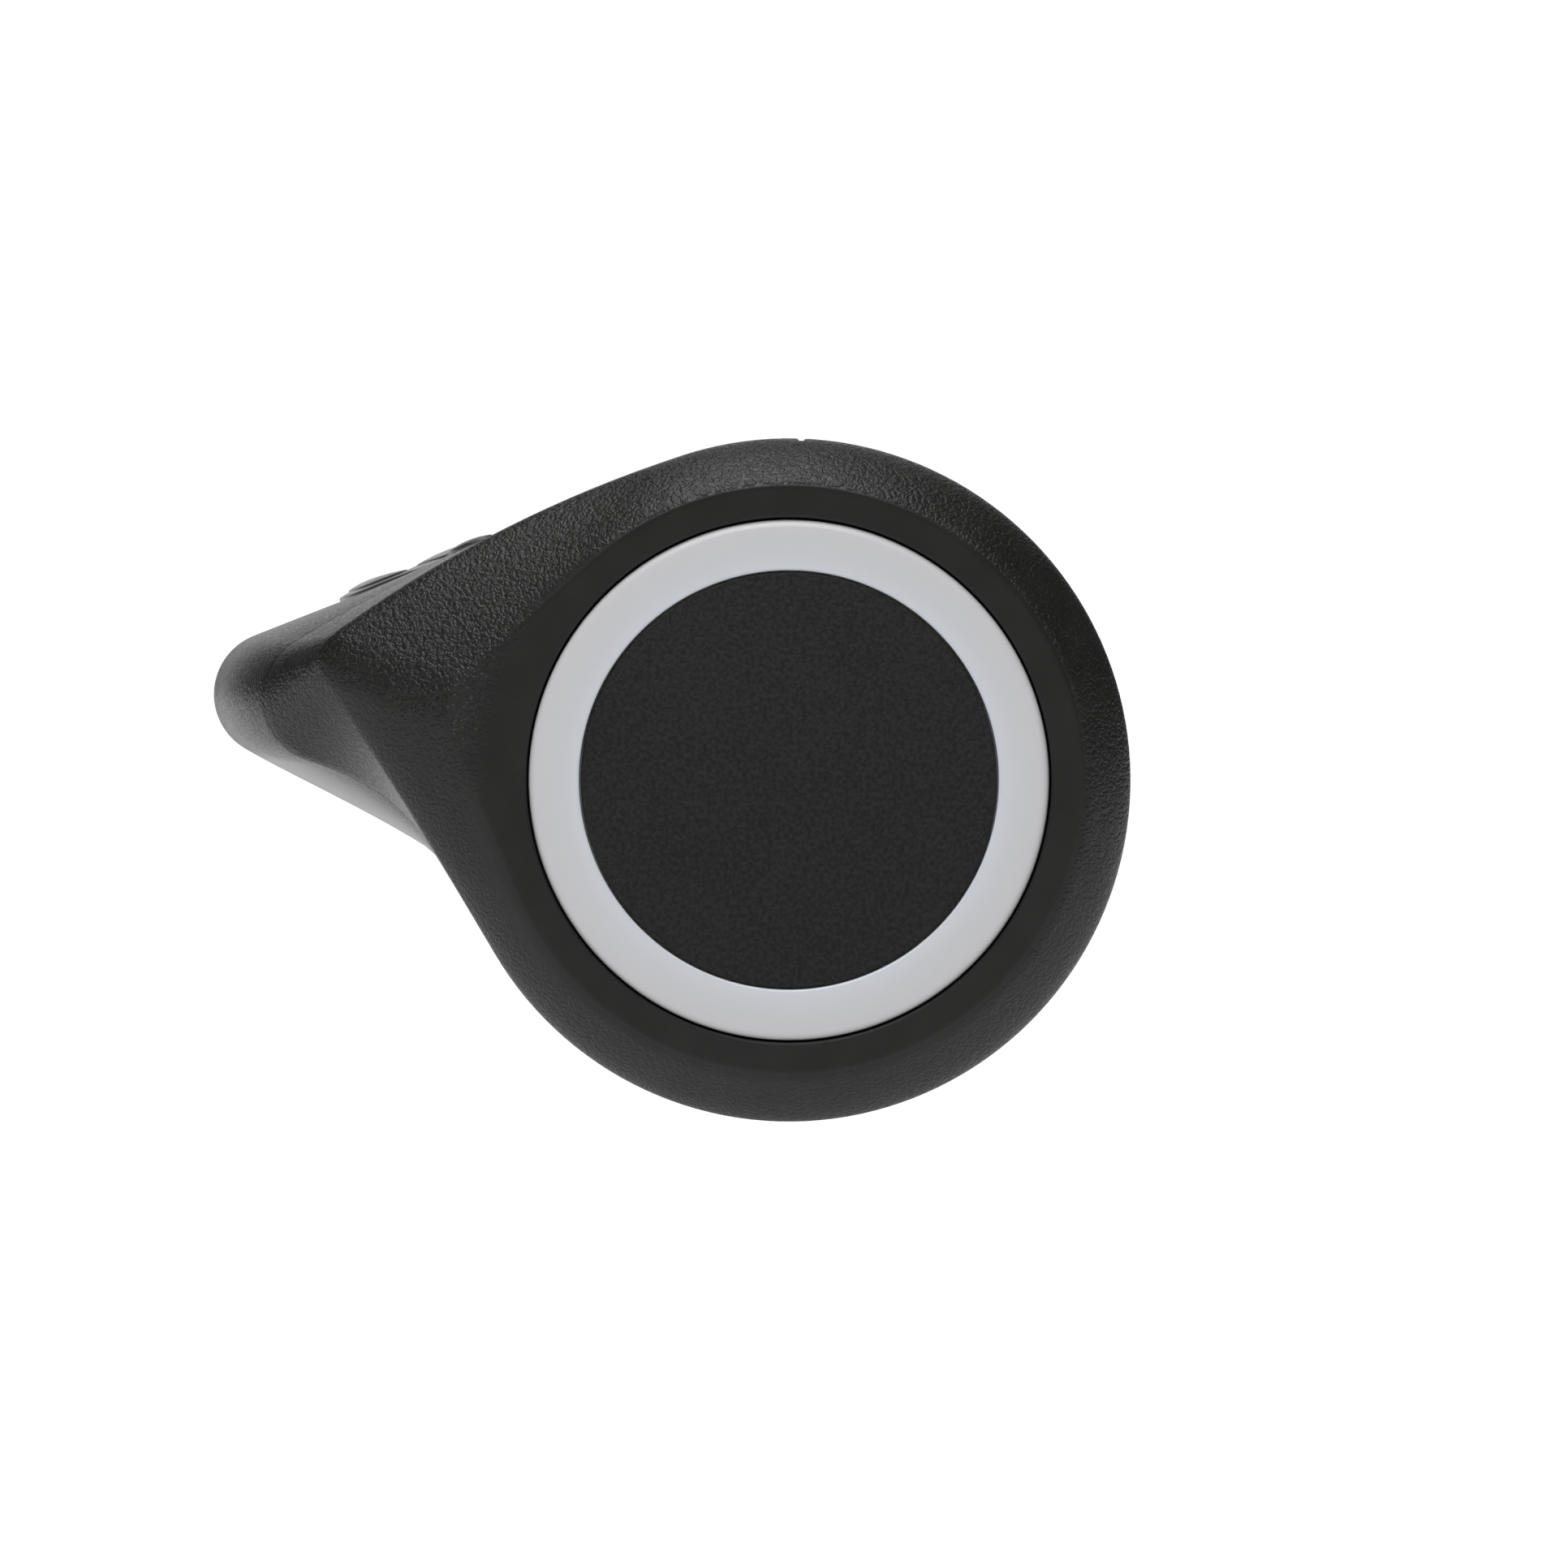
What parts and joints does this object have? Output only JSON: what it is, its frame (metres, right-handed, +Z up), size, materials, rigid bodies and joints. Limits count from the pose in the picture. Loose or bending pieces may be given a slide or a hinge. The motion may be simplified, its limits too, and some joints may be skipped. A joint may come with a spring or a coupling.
{
  "type": "winged handlebar grip",
  "caption": "Right-hand winged handlebar grip: rubber body on a stiff sleeve, round end cap, and a screw-tightened locking collar for a 22.2 mm bar.",
  "frame": {"origin": "on the handlebar's axis, at the plane where the bar's end stops against the end cap's plug", "axes": "+Y along the bar, inboard; -X towards the rider's palm, where the wing is; +Z up"},
  "size_m": [0.0526, 0.1309, 0.0391],
  "materials": {
    "black_rubber": "matt, with a fine leather-like grain",
    "black_nylon": "semi-matt, glass-filled",
    "grey_plastic": "satin",
    "dark_plastic": "matt, spark-eroded texture",
    "black_anodised": "black anodised, bead-blasted",
    "zinc_steel": "satin"
  },
  "bodies": {
    "root": {"grip_body": "black_rubber", "inner_sleeve": "black_nylon", "end_cap": "grey_plastic", "cap_inlay": "dark_plastic", "locking_collar": "black_anodised", "collar_screw": "zinc_steel"}
  },
  "joints": []
}
